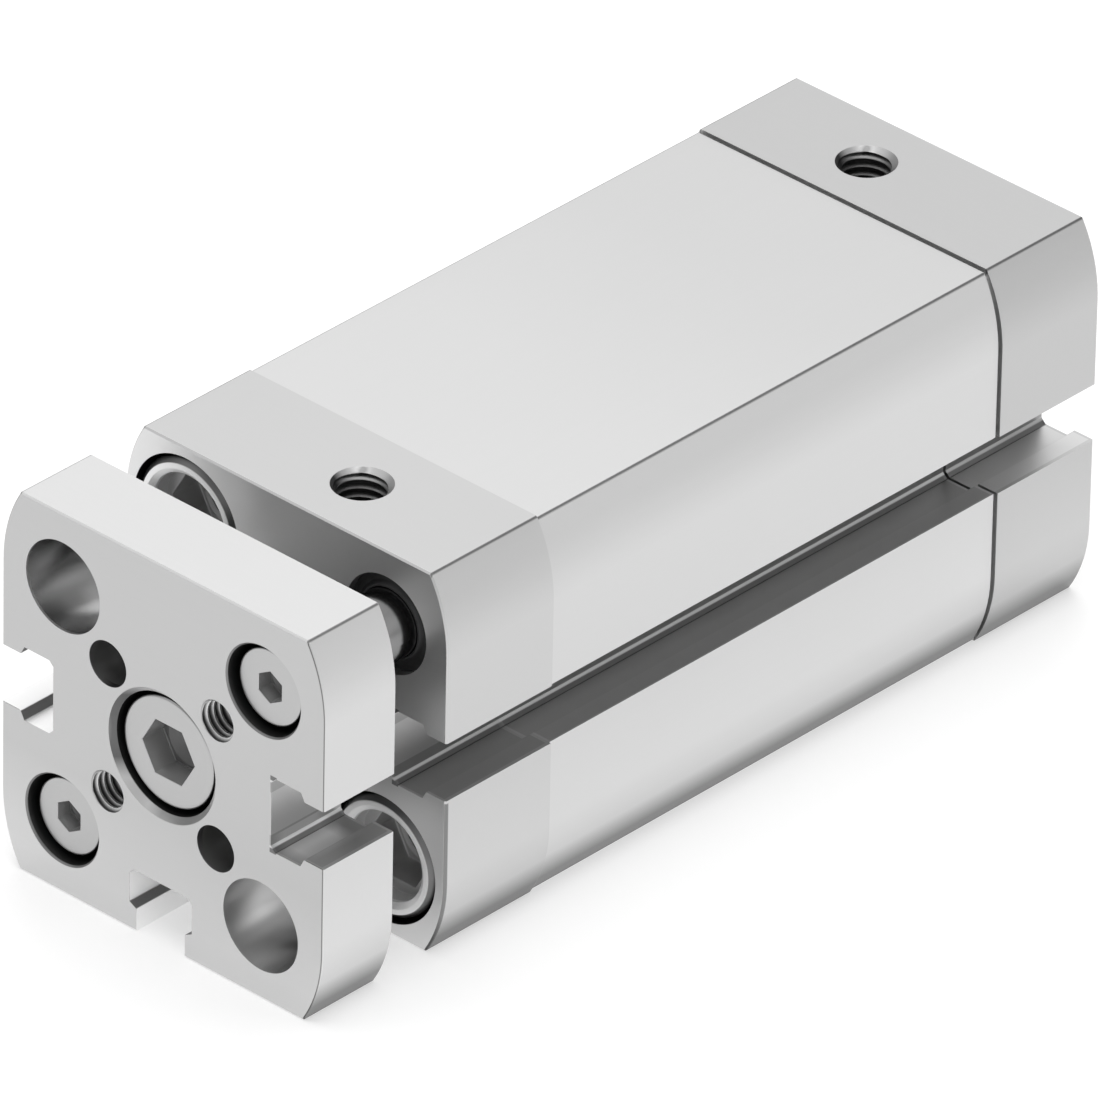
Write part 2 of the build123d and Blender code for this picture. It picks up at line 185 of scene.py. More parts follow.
# The dark and the light end of a tone
def tonePair(tone, spread):
    return tuple(c * (1 - spread) for c in tone), tuple(min(1, c * (1 + spread)) for c in tone)


# Clear anodised aluminium: a fine blasted grain, and faint lines along or across the section
def anodised(name, look):
    finish = Finish(name)
    grain = finish.noise(finish.place(), look["grainScale"], detail=3.0)
    lines = finish.noise(finish.place(scale=look["lineStretch"]), look["lineScale"])
    patch = finish.noise(finish.place(), look["patchScale"], detail=1.0)
    colour = finish.blendColours(patch * 0.6 + lines * 0.4, *tonePair(look["tone"], look["toneSpread"]))
    roughness = grain * look["roughnessSpread"] + (look["roughness"] - look["roughnessSpread"] / 2)
    # The look's zones paint light and shade into the colour
    finish.surface(colour, roughness, look["zones"])
    finish.relief(grain * 0.5 + lines * 0.5, look["relief"])
    return finish.material


# Painted light and shade on the section. Its creases are painted as fine dark lines, and its flat sides are
# painted lighter than its bevels.
# Both are painted lighter downwards, and end in a painted dark foot. In its right groove, the lips have
# their own share of painted shade, and the floor has a painted highlight near the undercut's corner and a
# painted shadow in it.
def sectionLightAndShade(front, rear, footShade=0.6, lipShade=0.22):
    length = {"along": (front + 0.02, rear - 0.02, 0.02)}
    inside = {"along": (front + 0.25, rear - 0.25)}
    sides = {"width": (15.75, None), **length}
    return [
        {"width": (15.66, 15.84), "height": (17.3, None), **length, "dark": 0.6},
        {**sides, "upward": (None, -8, 9), "dark": -0.12},
        {**sides, "height": (None, 12, 3), "dark": -0.075},
        {**sides, "upward": (None, -15, 2.6), "dark": footShade},
        {"across": (12.2, 17.4), "height": (None, 3.6), **inside, "dark": lipShade},
        {"across": (11.9, 12.2), "height": (2.0, 2.95), "dark": 0.3},
        {"across": (11.9, 12.3), "height": (2.95, 3.14), "dark": -0.25},
        {"across": (11.9, 12.6), "height": (3.18, 3.6), "dark": 0.65},
    ]


# Painted shade on a thread: its crests and grooves each have their own share of painted shade (painted
# light below 0), and change over softly on its flanks
def threadShade(centre, crest, root, depths, crestShade, grooveShade):
    height = root - crest
    flank = crest + 0.35 * height
    soft = 0.6 * height
    return [
        {"centre": centre, "radius": (None, flank, soft), **depths, "dark": crestShade},
        {"centre": centre, "radius": (flank, root + 0.2, soft), **depths, "dark": grooveShade},
    ]


# Painted shade in a port: on its thread, and in its mouth towards the front left, with a darker painted
# spot at its back left
def portShade(x, y):
    centre = (x, y, None)
    mouth = {"centre": centre, "radius": (None, 2.75), "upward": (17.0, 17.742, 0.01)}
    return [
        *threadShade(centre, 2.07, 2.5, {"upward": (None, 17.2)}, 0.8, 0.6),
        {**mouth, "across": (None, x - 0.3, 1), "along": (None, y - 0.3, 1), "dark": 0.88},
        {**mouth, "across": (x - 1.9, x - 1.3, 0.3), "along": (y + 1.4, y + 2.1, 0.3), "dark": 0.5},
    ]


# The zone inside a round hole along Y, with its share of painted shade (painted light below 0). depths are
# its limits along Y.
def hole(centre, radius, depths, dark, **shares):
    x, z = centre
    return {"centre": (x, None, z), "radius": (None, radius), "along": depths, "dark": dark, **shares}


barrelLook = {
    "tone": (0.583, 0.583, 0.583),
    "toneSpread": 0.015,
    "roughness": 0.38,
    "roughnessSpread": 0.06,
    "grainScale": 9000.0,
    "lineScale": 2600.0,
    "lineStretch": (1, 0.01, 1),
    "patchScale": 60.0,
    "relief": 0.0025,
    "zones": [
        *sectionLightAndShade(12.2, 65.0),
        {"upward": (17.4, None), "along": (None, 12.45), "dark": 0.07},  # the front joint
        # painted light: the top is lighter towards the front and darker towards the rear
        {"upward": (17.4, None), "along": (None, 30, 40), "dark": -0.05},
        {"upward": (17.4, None), "along": (50, None, 40), "dark": 0.045},
    ],
}
bearingCapLook = {
    **barrelLook,
    "tone": (0.54, 0.54, 0.54),
    "lineStretch": (0.02, 1, 1),
    "roughness": 0.4,
    "zones": [
        *sectionLightAndShade(0.0, 12.2),
        *portShade(2.6, 6),
        {"along": (None, 0.004, 0.004), "dark": -0.33},  # painted light on the front face, in the gap behind the yoke plate
        # painted highlight on the top front edge
        {"upward": (17.5, None), "along": (0.008, 0.2, 0.01), "dark": -0.12},
        # painted shade on the sides' front edge below the groove, standing in for a chamfer
        {"width": (15.8, None), "upward": (None, -2.95, 0.1), "along": (0.01, 0.35, 0.01), "dark": 0.6},
        # painted shade in the counterbores
        hole((-11, 11), 5.83, (0.1, 5.1), 0.85),
        hole((11, -11), 5.83, (0.1, 5.1), 0.85),
    ],
}
endCapLook = {
    **bearingCapLook,
    "tone": (0.495, 0.495, 0.495),
    "zones": [
        *sectionLightAndShade(65.0, 77.0, 0.52, -0.2),
        {"along": (64.9, 65.28, 0.02), "dark": -0.6},  # painted light in the groove at the rear joint
        *portShade(-2.6, 71),
        # painted shade in the counterbores
        *[hole((x, z), 5.83, (71.9, 76.9), 0.85) for x in (-11, 11) for z in (-11, 11)],
    ],
}


# Painted light and shade in the yoke plate's left and bottom grooves: the lips' faces and the walls are
# painted bright, partly by taking off their metal, and the lips' inner slants are painted dark. outward is
# the zone key along the groove's depth, and beside the one across it.
def yokeGrooveLightAndShade(outward, beside, lipShares, wallShares):
    inside = {"along": (-13.97, -6.03, 0.02)}
    return [
        {outward: (None, -15.66, 0.02), beside: (2.6, 2.72, 0.02), **inside, **lipShares},
        {outward: (-15.64, -15.2), beside: (2.74, 3.43, 0.02), **inside, "dark": 0.6},
        {outward: (-15.2, -12.5), beside: (3.43, 3.5, 0.02), **inside, **wallShares},
    ]


counterbore = {"along": (-13.97, -13.4, 0.02)}  # the wall round the rod screw's head, where shade is painted
yokeLook = {
    **barrelLook,
    "tone": (0.605, 0.605, 0.605),
    "lineStretch": (0.03, 1, 1),
    "roughness": 0.42,
    "zones": [
        *sectionLightAndShade(-14.0, -6.0),
        {"along": (None, -13.995, 0.004), "dark": 0.125},  # painted shade on the front face
        # painted light on the front face, growing towards the bottom
        {"along": (None, -13.995, 0.004), "upward": (None, -10.5, 9), "dark": -0.2},
        # painted light on the rear face, in the gap before the bearing cap
        {"along": (-6.005, None, 0.004), "dark": -0.12},
        # painted light on the top
        {"upward": (17.7, None), "dark": -0.06},
        # painted light on the top front chamfer
        {"upward": (17.5, 17.74, 0.01), "along": (-13.995, -13.8, 0.01), "dark": -0.22},
        # painted shade on the sides' front edge
        {"width": (15.8, None), "along": (-13.99, -13.92, 0.01), "dark": 0.65},
        # painted highlight in the middle of the right groove's lower lip
        {"across": (12.2, 14.9, 3), "upward": (-3.6, -2.2), "along": (-13.2, -8, 1.5), "dark": -1.1},
        *yokeGrooveLightAndShade("across", "height", {"dark": -0.3}, {"dark": -0.65}),
        *yokeGrooveLightAndShade("upward", "width", {"dark": -0.65, "matt": 0.7}, {"dark": -0.65, "matt": 1}),
        # painted shade on the wall round the rod screw's head
        hole((0, 0), 5.52, (-13.45, None), 0.85),
        # painted shade on the counterbore's chamfer, at its left and its bottom
        {"across": (-6.3, -2.5, 1.2), "upward": (-3.2, 4.5, 1.5), **counterbore, "dark": 0.75},
        {"across": (-1, 6, 1.5), "upward": (-6.3, -2, 1.5), **counterbore, "dark": 0.45},
        # painted shade in the guide screws' counterbores and on their chamfers, and in the other two holes
        hole((11, 11), 4.07, (-13.8, None), 0.85),
        hole((-11, -11), 4.07, (-13.8, None), 0.85),
        hole((11, 11), 4.3, (-13.98, -13.8, 0.02), 0.6),
        hole((-11, -11), 4.3, (-13.98, -13.8, 0.02), 0.6),
        hole((-11, 11), 4.2, (-13.8, None), 0.25, polish=0.4),
        hole((11, -11), 4.2, (-13.8, None), 0.05, polish=0.25),
        # painted shade in the small holes
        hole((-6, 6), 2.12, (-13.9, None), 0.35),
        hole((6, -6), 2.12, (-13.9, None), 0.35),
        # painted light on the threads' crests and painted shade in their grooves
        *threadShade((6, None, 6), 1.62, 2.0, {"along": (-13.95, None)}, -0.3, 0.74),
        *threadShade((-6, None, -6), 1.62, 2.0, {"along": (-13.95, None)}, -0.3, 0.74),
    ],
}
pistonLook = {**barrelLook, "zones": [], "lineStretch": (0.02, 1, 0.02), "roughness": 0.3}


# Ground and polished bar: fine rings round the bar and a soft smear
def polishedBar(name, look):
    finish = Finish(name)
    rings = finish.noise(finish.place(scale=(0.01, 1, 0.01)), look["ringScale"], detail=3.0)
    smear = finish.noise(finish.place(), look["smearScale"])
    colour = finish.blendColours(smear, *tonePair(look["tone"], look["toneSpread"]))
    finish.surface(colour, smear * look["roughnessSpread"] + look["roughness"])
    finish.relief(rings, look["relief"])
    return finish.material


barLook = {
    "tone": (0.36, 0.36, 0.36),
    "toneSpread": 0.03,
    "roughness": 0.12,
    "roughnessSpread": 0.08,
    "ringScale": 9000.0,
    "smearScale": 300.0,
    "relief": 0.0015,
}


# Turned and plated steel, with rings round the piece's own axis
def turnedSteel(name, centre, look, zones=()):
    finish = Finish(name)
    radius = finish.farFrom(centre)
    ringPlace = finish.node("ShaderNodeCombineXYZ", {}, {"X": radius})
    rings = finish.noise(ringPlace, look["ringScale"], detail=3.0)
    marks = finish.noise(finish.place(scale=(0.02, 1, 0.02)), look["ringScale"])
    cloud = finish.noise(finish.place(), look["cloudScale"])
    colour = finish.blendColours(cloud * 0.5 + rings * 0.5, *tonePair(look["tone"], look["toneSpread"]))
    finish.surface(colour, cloud * look["roughnessSpread"] + look["roughness"], zones)
    finish.relief(rings * 0.6 + marks * 0.4, look["relief"])
    return finish.material


steelLook = {
    "tone": (0.52, 0.52, 0.515),
    "toneSpread": 0.06,
    "roughness": 0.2,
    "roughnessSpread": 0.14,
    "ringScale": 7000.0,
    "cloudScale": 500.0,
    "relief": 0.004,
}


# Rubber, polymer, bonded magnet and sintered bronze: a fine grain with a soft cloud in its tone
def grained(name, look):
    finish = Finish(name)
    grain = finish.noise(finish.place(), look["grainScale"], detail=3.0)
    cloud = finish.noise(finish.place(), look["cloudScale"])
    finish.set("Base Color", finish.blendColours(cloud, *tonePair(look["tone"], look["toneSpread"])))
    finish.set("Metallic", look["metallic"])
    finish.set("Roughness", grain * look["roughnessSpread"] + look["roughness"])
    finish.relief(grain, look["relief"])
    return finish.material


rubberLook = {
    "tone": (0.02, 0.02, 0.021),
    "toneSpread": 0.2,
    "metallic": 0.0,
    "roughness": 0.38,
    "roughnessSpread": 0.15,
    "grainScale": 6000.0,
    "cloudScale": 700.0,
    "relief": 0.004,
}
bronzeLook = {**rubberLook, "tone": (0.42, 0.27, 0.13), "metallic": 0.9, "roughness": 0.42}
polymerLook = {**rubberLook, "tone": (0.06, 0.05, 0.045), "roughness": 0.5}
magnetLook = {**rubberLook, "tone": (0.045, 0.045, 0.05), "roughness": 0.55}

slotFinish = {
    "anodised_barrel": anodised("anodisedBarrel", barrelLook),
    "yoke_aluminium": anodised("yokeAluminium", yokeLook),
    "turned_aluminium": anodised("turnedAluminium", pistonLook),
    "polished_rod": polishedBar("polishedRod", barLook),
    "sintered_bronze": grained("sinteredBronze", bronzeLook),
    "bearing_polymer": grained("bearingPolymer", polymerLook),
    "bonded_magnet": grained("bondedMagnet", magnetLook),
    "seal_rubber": grained("sealRubber", rubberLook),
}
nodeFinish = {
    "bearing_cap": anodised("anodisedBearingCap", bearingCapLook),
    "end_cap": anodised("anodisedEndCap", endCapLook),
}
slotOf = {part["node"]: part["material_slot"] for part in frame["record"]["subparts"]}


# The line along Y through the middle of a node
def middle(node):
    low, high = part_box(node)
    x, _, z = (low + high) / 2 / mm
    return x, None, z


for node, thing in nodes.items():
    finish = nodeFinish.get(node) or slotFinish.get(slotOf[node])
    thing.data.materials.clear()
    thing.data.materials.append(finish or turnedSteel(node + "Steel", middle(node), steelLook))
print("finishes on every node")


# Turned pieces. A ring has a radius and a place along its axis, which may both change with the
# angle: point = centre + radius * (cos angle * right + sin angle * up) + place * along.

# right, up and along for each axis, in an order that makes the threads right-handed
rightHanded = {
    "Y": ((1, 0, 0), (0, 0, -1), (0, 1, 0)),
    "Z": ((1, 0, 0), (0, 1, 0), (0, 0, 1)),
}


def ringPoints(rings, steps, centre, axis):
    right, up, along = (np.array(v, float) for v in rightHanded[axis])
    angle = np.arange(steps) * 2 * np.pi / steps
    radius = np.array([np.broadcast_to(r, steps) for r, _ in rings])[..., None]
    place = np.array([np.broadcast_to(t, steps) for _, t in rings])[..., None]
    circle = np.cos(angle)[:, None] * right + np.sin(angle)[:, None] * up
    return ((np.array(centre) + radius * circle + place * along) * mm).reshape(-1, 3)


# Joins each ring to the next. A loop also joins its last ring to its first. With a twist, each ring
# goes on round the axis as the ring that many further along.
def ringFaces(count, steps, loop=False, twist=0):
    row, column = np.meshgrid(np.arange(count if loop else count - 1), np.arange(steps), indexing="ij")
    beside = row + np.where(column == steps - 1, twist, 0)
    onward = (column + 1) % steps
    corners = [(row, column), (beside, onward), (beside + 1, onward), (row + 1, column)]
    numbers = [(r % count if loop else r) * steps + c for r, c in corners]
    faces = np.stack(numbers, -1).reshape(-1, 4)
    return faces[(faces < count * steps).all(axis=1)]


mergeDistance = 1e-7  # metres


# Makes the object, merges poles and doubles, and turns every face outwards. An edge stays sharp where
# its faces meet at more than crisp degrees.
def makePiece(name, points, faces, finish, body, crisp):
    mesh = bpy.data.meshes.new(name)
    mesh.from_pydata(points.tolist(), [], faces.tolist())
    work = bmesh.new()
    work.from_mesh(mesh)
    bmesh.ops.remove_doubles(work, verts=work.verts, dist=mergeDistance)
    bmesh.ops.dissolve_degenerate(work, edges=work.edges, dist=mergeDistance)
    bmesh.ops.delete(work, geom=[v for v in work.verts if not v.link_faces], context="VERTS")
    bmesh.ops.recalc_face_normals(work, faces=work.faces)
    work.to_mesh(mesh)
    work.free()
    mesh.polygons.foreach_set("use_smooth", np.ones(len(mesh.polygons), bool))
    mesh.set_sharp_from_angle(angle=math.radians(crisp))
    mesh.materials.append(finish)
    piece = bpy.data.objects.new(name, mesh)
    bpy.context.scene.collection.objects.link(piece)
    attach(piece, body)
    return piece


cornerRings = 6


# Softens an outline's corners. Each corner (radius, place, rounding) gives way to a parabola
# (1-s)^2 start + 2s(1-s) corner + s^2 end, whose ends lie the rounding away along both sides.
def softened(outline):
    spots = np.array([(r, t) for r, t, _ in outline], float)
    rings = []
    for k, (r, t, rounding) in enumerate(outline):
        if not rounding:
            rings.append((r, t))
            continue
        here, before, after = spots[k], spots[k - 1], spots[(k + 1) % len(spots)]
        start = here + (before - here) / np.linalg.norm(before - here) * rounding
        end = here + (after - here) / np.linalg.norm(after - here) * rounding
        s = np.linspace(0, 1, cornerRings)[:, None]
        rings += [tuple(p) for p in (1 - s) ** 2 * start + 2 * s * (1 - s) * here + s**2 * end]
    return rings


# From the centre to a hexagon's side at each angle: apothem / cos(angle off the side's middle)
def hexagon(acrossFlats, turn, steps):
    angle = np.arange(steps) * 360 / steps
    offMiddle = (angle - turn) % 60 - 30
    return acrossFlats / 2 / np.cos(np.radians(offMiddle))


# A hexagon socket's rings, from its edge in the face to the drill's edge in its floor. It goes
# inward, +1 or -1 along the axis. drill is the drilled hole's share of the width across the flats.
def socketRings(face, inward, look, steps):
    flats = hexagon(look["acrossFlats"], look["turn"], steps)
    floor = face + inward * look["socketDepth"]
    return [
        (flats + look["edge"], face),
        (flats, face + inward * look["edge"]),
        (flats, floor - inward * look["socketCorner"]),
        (flats - look["socketCorner"], floor),
        (look["acrossFlats"] / 2 * look["drill"], floor),
    ]


roundSteps = 144  # in a turn round a screw or a seal
drillSlope = math.tan(math.radians(31))  # the cone that a twist drill leaves


def makeSocketScrew(name, node, centre, look):
    face, tip = look["face"], look["tip"]
    seat = face + look["headHeight"]
    outer = softened([
        (0, tip, 0),
        (look["radius"] - look["tipChamfer"], tip, 0),
        (look["radius"], tip - look["tipChamfer"], 0),
        (look["radius"], seat, 0),
        (look["headRadius"], seat, look["seatRounding"]),
        (look["headRadius"], face, look["rim"]),
        (look["headRadius"] - 2 * look["rim"], face, 0),
    ])
    socketFloor = face + look["socketDepth"]
    sunk = socketFloor + look["acrossFlats"] / 2 * look["drill"] * drillSlope
    axis = (centre[0], None, centre[1])
    rings = outer + socketRings(face, 1, look, roundSteps) + [(0, sunk)]
    points = ringPoints(rings, roundSteps, (centre[0], 0, centre[1]), "Y")
    zones = [
        # Painted shade on the head's side and the socket's floor, and painted light on the socket's walls
        {"centre": axis, "radius": (look["headRadius"] - 0.05, None), "dark": 0.85},
        hole(centre, look["radius"], (face + 0.1, None), -0.15, polish=-0.9),
        hole(centre, look["radius"], (socketFloor - 0.1, None), 0.6),
    ]
    steel = turnedSteel(name + "Steel", axis, headLook, zones)
    faces = ringFaces(len(rings), roundSteps)
    piece = makePiece(name, points, faces, steel, "slide", look["crisp"])
    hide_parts(node)


headLook = {**steelLook, "tone": (0.47, 0.47, 0.47), "relief": 0.006, "roughness": 0.24}
rodScrewLook = {
    "face": -13.25,
    "headHeight": 4.0,
    "headRadius": 5.0,
    "rim": 0.35,
    "seatRounding": 0.12,
    "radius": 3.0,
    "tip": 5.0,
    "tipChamfer": 0.4,
    "acrossFlats": 5.0,
    "turn": 0,
    "socketDepth": 2.4,
    "socketCorner": 0.08,
    "edge": 0.05,
    "drill": 0.9,
    "crisp": 28,
}
guideScrewLook = {
    **rodScrewLook,
    "face": -13.2,
    "headHeight": 2.8,
    "headRadius": 3.425,
    "rim": 0.25,
    "radius": 2.0,
    "tip": 0.0,
    "acrossFlats": 2.5,
    "turn": 30,
    "socketDepth": 1.5,
}

makeSocketScrew("rodScrew", "rod_screw", (0, 0), rodScrewLook)
makeSocketScrew("guideScrewUpper", "guide_screw_upper", (11, 11), guideScrewLook)
makeSocketScrew("guideScrewLower", "guide_screw_lower", (-11, -11), guideScrewLook)
print("yoke screws turned")


# How far a thread's profile stands in from its root: 0 on the root, 1 on the crest, straight flanks
def ridge(turn, root=0.125, crest=0.25):
    offCrest = np.abs(turn % 1 - 0.5)
    return np.clip((0.5 - root / 2 - offCrest) / (0.5 - root / 2 - crest / 2), 0, 1)


threadDepth = 0.541  # of the pitch
rootGap = 0.01  # millimetres between the thread's root and the hole's wall
shellSink = 0.05  # millimetres


# An inside thread as a closed liner of its hole, flush with the hole's ends. Ring k keeps to one
# place on the profile and climbs with the angle: place = start + pitch * (k / perTurn - 1 + phase +
# share of a turn), held between the ends. Its radius = wall - rootGap - depth * ridge(k / perTurn), and
# at least that of the chamfer, which starts with the mouth's radius at each end and goes in at 45
# degrees. The liner's outer wall, the shell, is sunk in the hole's.
def makeThread(name, centre, axis, ends, look, finish, body, slot, shell=None):
    steps, perTurn, pitch, wall = look["steps"], look["perTurn"], look["pitch"], look["wall"]
    start, end = ends
    firstMouth, lastMouth = look["mouths"]
    count = int(math.ceil((end - start) / pitch + 2)) * perTurn + 1
    k = np.arange(count)[:, None]
    climb = start + pitch * (k / perTurn - 1 + look["phase"] + np.arange(steps)[None] / steps)
    profile = wall - rootGap - threadDepth * pitch * ridge(k / perTurn)
    radius = np.maximum(profile, np.maximum(firstMouth + start - climb, lastMouth + climb - end))
    radius = np.where(climb <= start, firstMouth, np.where(climb >= end, lastMouth, radius))
    inner = ringPoints(list(zip(radius, np.clip(climb, start, end))), steps, centre, axis)
    sunk, inset = wall + shellSink, 2 * shellSink
    shell = shell or [(wall, start), (sunk, start + inset), (sunk, end - inset), (wall, end)]
    outer = ringPoints(shell, steps, centre, axis)
    firstRows = [0, *range(count, count + len(shell)), count - 1]
    column = np.arange(steps)
    walls = [
        np.stack([one * steps + column, one * steps + np.roll(column, -1),
                  other * steps + np.roll(column, -1), other * steps + column], -1)
        for one, other in zip(firstRows, firstRows[1:])
    ]
    faces = np.concatenate([ringFaces(count, steps, twist=perTurn), *walls])
    return makePiece(name, np.concatenate([inner, outer]), faces, finish, body, look["crisp"])


# M5 and M4 threads. A phase is at most 0 and above -1, as the rings begin a turn before the end.
portThread = {
    "pitch": 0.8,
    "phase": -0.46,
    "wall": 2.5,
    "mouths": (2.42, 2.6),
    "steps": 96,
    "perTurn": 16,
    "crisp": 25,
}
yokeThread = {**portThread, "pitch": 0.7, "phase": 0.0, "wall": 2.0, "mouths": (1.85, 1.85), "steps": 72}
coreThread = {**portThread, "mouths": (2.42, 2.42), "steps": 60, "perTurn": 12}

# The shells also fill the holes' small chamfers, up to the face
portHole = {
    "axis": "Z",
    "ends": (12.4, 17.75),
    "look": portThread,
    "body": "cylinder",
    "slot": "anodised_cap",
    "shell": [(2.5, 12.4), (2.55, 12.5), (2.55, 17.42), (2.75, 17.62), (2.7, 17.75)],
}
yokeHole = {
    "axis": "Y",
    "ends": (-14.0, -6.0),
    "look": yokeThread,
    "finish": slotFinish["yoke_aluminium"],
    "body": "slide",
    "slot": "yoke_aluminium",
    "shell": [(2.15, -14.0), (2.2, -13.9), (2.05, -13.7), (2.05, -6.1), (2.0, -6.0)],
}
makeThread("frontPort", (2.6, 6, 0), finish=nodeFinish["bearing_cap"], **portHole)
makeThread("rearPort", (-2.6, 71, 0), finish=nodeFinish["end_cap"], **portHole)
makeThread("yokeThreadUpper", (6, 0, 6), **yokeHole)
makeThread("yokeThreadLower", (-6, 0, -6), **yokeHole)
print("port and yoke threads cut")


# Freshly cut thread: bright, a little uneven
def cutThread(name, look):
    finish = Finish(name)
    cloud = finish.noise(finish.place(), look["cloudScale"])
    colour = finish.blendColours(cloud, *tonePair(look["tone"], look["toneSpread"]))
    finish.surface(colour, cloud * look["roughnessSpread"] + look["roughness"])
    finish.relief(cloud, look["relief"])
    return finish.material


threadLook = {
    "tone": (0.45, 0.45, 0.45),
    "toneSpread": 0.08,
    "roughness": 0.2,
    "roughnessSpread": 0.1,
    "cloudScale": 900.0,
    "relief": 0.004,
}
coreCut = cutThread("cutCoreThread", threadLook)


# Flange screws: a flat ring flush with the cap, a round mouth, a hexagon, and a thread in the core.
# inward is +1 or -1 along Y.
def makeFlangeScrew(name, node, face, inward, centre, look):
    seat = face + inward * look["headHeight"]
    tip = face + inward * look["length"]
    mouth = face + inward * look["mouthDepth"]
    core = mouth + inward * look["socketDepth"]
    coreEnd = core + inward * look["coreDepth"]
    outer = softened([
        (0, tip, 0),
        (look["radius"] - look["tipChamfer"], tip, 0),
        (look["radius"], tip - inward * look["tipChamfer"], 0),
        (look["radius"], seat, 0),
        (look["headRadius"], seat, look["seatRounding"]),
        (look["headRadius"], face + inward * look["headChamfer"], look["headRounding"]),
        (look["headRadius"] - look["headChamfer"], face, look["headRounding"]),
        (look["lipRadius"], face, look["lipRounding"]),
        (look["mouthRadius"], face + inward * look["lipDepth"], look["mouthRounding"]),
        (look["mouthRadius"], mouth, 0),
    ])
    rings = outer + socketRings(mouth, inward, look, roundSteps)
    rings += [
        (look["coreRadius"] + look["coreChamfer"], core),
        (look["coreRadius"], core + inward * look["coreChamfer"]),
        (look["coreRadius"], coreEnd),
        (0, coreEnd + inward * look["coreRadius"] * drillSlope),
    ]
    x, z = centre
    points = ringPoints(rings, roundSteps, (x, 0, z), "Y")
    inside = sorted((face + inward * 2 * look["lipDepth"], tip))
    axis = (x, None, z)
    rim = look["headRadius"] - look["headChamfer"] + 0.02
    zones = [
        # Painted shade on the head's outer chamfer and inside the mouth
        {"centre": axis, "radius": (rim, None, 0.08), "dark": 0.8},
        {"centre": axis, "radius": (look["mouthRadius"] - 0.1, rim, 0.08), "matt": 0.4},
        hole(centre, look["mouthRadius"] + 0.1, inside, 0.35, polish=-0.8),
    ]
    steel = turnedSteel(name + "Steel", axis, flangeSteel, zones)
    faces = ringFaces(len(rings), roundSteps)
    piece = makePiece(name, points, faces, steel, "cylinder", look["crisp"])
    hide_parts(node)
    inset = inward * look["threadInset"]
    ends = sorted((core + inset, coreEnd - inset))
    makeThread(name + "Core", (x, 0, z), "Y", ends, coreThread, coreCut, "cylinder", "flange_screw_steel")


flangeSteel = {**steelLook, "tone": (0.88, 0.88, 0.88), "roughness": 0.28, "relief": 0.004}
flangeLook = {
    "radius": 4.0,
    "length": 21.2,
    "tipChamfer": 0.4,
    "headRadius": 5.4,
    "headHeight": 5.0,
    "headChamfer": 0.45,
    "headRounding": 0.04,
    "seatRounding": 0.1,
    "lipRadius": 4.5,
    "lipDepth": 0.35,
    "lipRounding": 0.05,
    "mouthRadius": 4.0,
    "mouthDepth": 2.0,
    "mouthRounding": 0.1,
    "acrossFlats": 6.0,
    "turn": 0,
    "socketDepth": 3.0,
    "socketCorner": 0.08,
    "edge": 0.05,
    "drill": 0.95,
    "coreRadius": 2.5,
    "coreDepth": 12.0,
    "coreChamfer": 0.25,
    "threadInset": 0.3,
    "crisp": 28,
}
rearLook = {**flangeLook, "length": 21.0}

makeFlangeScrew("flangeScrewFrontUpper", "flange_screw_front_upper", 0.0, 1, (-11, 11), flangeLook)
makeFlangeScrew("flangeScrewFrontLower", "flange_screw_front_lower", 0.0, 1, (11, -11), flangeLook)
makeFlangeScrew("flangeScrewRearUpperLeft", "flange_screw_rear_upper_left", 77.0, -1, (-11, 11), rearLook)
makeFlangeScrew("flangeScrewRearUpperRight", "flange_screw_rear_upper_right", 77.0, -1, (11, 11), rearLook)
makeFlangeScrew("flangeScrewRearLowerLeft", "flange_screw_rear_lower_left", 77.0, -1, (-11, -11), rearLook)
makeFlangeScrew("flangeScrewRearLowerRight", "flange_screw_rear_lower_right", 77.0, -1, (11, -11), rearLook)
print("flange screws turned")


sealCrisp = 50  # degrees


# Seals: closed rings with a soft lip against the rod. An outline's corner is (radius, place, rounding).
def makeSealRing(name, node, centre, outline):
    rings = softened(outline)
    points = ringPoints(rings, roundSteps, (centre[0], 0, centre[1]), "Y")
    faces = ringFaces(len(rings), roundSteps, loop=True)
    piece = makePiece(name, points, faces, slotFinish["seal_rubber"], "cylinder", sealCrisp)
    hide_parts(node)


rodSealOutline = [
    (5.05, 0.66, 0.04),
    (5.3, 0.6, 0.12),
    (5.75, 1.15, 0.25),
    (6.9, 1.2, 0.25),
    (7.3, 0.95, 0.15),
    (8.0, 0.95, 0.15),
    (8.0, 4.2, 0.1),
    (5.05, 4.2, 0.1),
]
wiperOutline = [
    (3.05, 0.42, 0.04),
    (3.22, 0.4, 0.08),
    (3.55, 0.86, 0.12),
    (4.0, 0.95, 0.1),
    (4.4, 0.8, 0.1),
    (4.4, 2.6, 0.08),
    (3.05, 2.6, 0.08),
]
makeSealRing("rodSealMoulded", "rod_seal", (0, 0), rodSealOutline)
makeSealRing("guideWiperUpperMoulded", "guide_wiper_upper", (11, 11), wiperOutline)
makeSealRing("guideWiperLowerMoulded", "guide_wiper_lower", (-11, -11), wiperOutline)
print("seals moulded")


# Floor, light and camera

# The floor is a light table, which keeps the shadow on it faint
floorLook = {
    "tone": (0.5, 0.5, 0.5),
    "roughness": 0.7,
    "glow": 0.5,
    "reach": 4.0,  # metres
    "below": 0.02,  # millimetres
}


